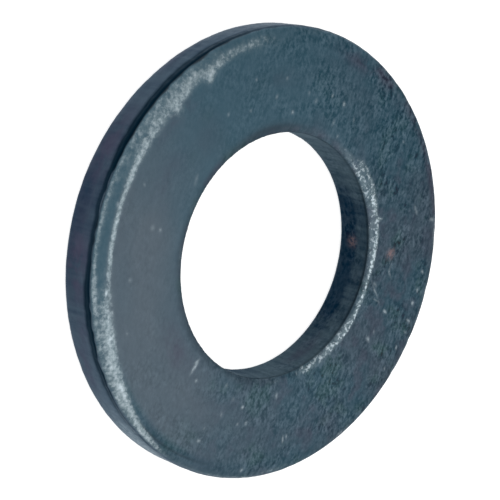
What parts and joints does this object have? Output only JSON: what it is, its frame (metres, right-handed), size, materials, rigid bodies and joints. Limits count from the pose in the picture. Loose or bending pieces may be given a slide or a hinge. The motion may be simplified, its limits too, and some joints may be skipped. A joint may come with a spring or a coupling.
{
  "type": "flat washer",
  "caption": "Plain flat washer for an M12 bolt: a round blackened steel ring with a rolled top edge and a clearance bore.",
  "frame": {"origin": "on the washer's axis, at its underside: the face that rests on the surface", "axes": "+Z along the washer's axis, out of the face with the rolled edges; X and Y are alike"},
  "size_m": [0.024, 0.024, 0.0025],
  "materials": {
    "blackened_steel": "black oxide, dark blue-grey and semi-gloss, worn bright along the rolled edges"
  },
  "bodies": {
    "root": {"washer": "blackened_steel"}
  },
  "joints": []
}
